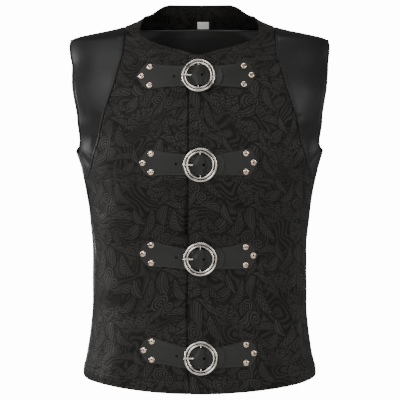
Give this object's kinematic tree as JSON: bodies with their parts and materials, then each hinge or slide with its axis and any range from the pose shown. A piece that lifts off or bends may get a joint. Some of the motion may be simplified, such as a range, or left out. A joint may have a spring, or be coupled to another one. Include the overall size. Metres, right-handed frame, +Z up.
{
  "type": "medieval vest",
  "caption": "Sleeveless brocade vest with leather shoulder yokes, closed down the front by riveted straps and round buckles, in its worn form.",
  "frame": {"origin": "middle of the neck base, level with the neck ends of the shoulder seams, where the vest hangs on the wearer's shoulders", "axes": "+X to the wearer's left, -Y to the front, +Z up"},
  "size_m": [0.4556, 0.2505, 0.67],
  "materials": {
    "brocade": "satin jacquard",
    "leather": "semi-gloss",
    "strap": "satin",
    "lining": "satin",
    "label": "matte",
    "metal": "polished nickel"
  },
  "bodies": {
    "root": {"front_left": "brocade", "front_right": "brocade", "back": "brocade", "back_neck_facing": "brocade", "leather_front_left": "leather", "leather_front_right": "leather", "leather_back_left": "leather", "leather_back_right": "leather", "back_lining": "lining", "label": "label", "billet_strap_1": "strap", "buckle_strap_1": "strap", "buckle_frame_1": "metal", "prong_1": "metal", "billet_rivet_1_upper": "metal", "billet_rivet_1_tip": "metal", "billet_rivet_1_lower": "metal", "buckle_rivet_1_upper": "metal", "buckle_rivet_1_tip": "metal", "buckle_rivet_1_lower": "metal", "billet_strap_2": "strap", "buckle_strap_2": "strap", "buckle_frame_2": "metal", "prong_2": "metal", "billet_rivet_2_upper": "metal", "billet_rivet_2_tip": "metal", "billet_rivet_2_lower": "metal", "buckle_rivet_2_upper": "metal", "buckle_rivet_2_tip": "metal", "buckle_rivet_2_lower": "metal", "billet_strap_3": "strap", "buckle_strap_3": "strap", "buckle_frame_3": "metal", "prong_3": "metal", "billet_rivet_3_upper": "metal", "billet_rivet_3_tip": "metal", "billet_rivet_3_lower": "metal", "buckle_rivet_3_upper": "metal", "buckle_rivet_3_tip": "metal", "buckle_rivet_3_lower": "metal", "billet_strap_4": "strap", "buckle_strap_4": "strap", "buckle_frame_4": "metal", "prong_4": "metal", "billet_rivet_4_upper": "metal", "billet_rivet_4_tip": "metal", "billet_rivet_4_lower": "metal", "buckle_rivet_4_upper": "metal", "buckle_rivet_4_tip": "metal", "buckle_rivet_4_lower": "metal"}
  },
  "joints": []
}
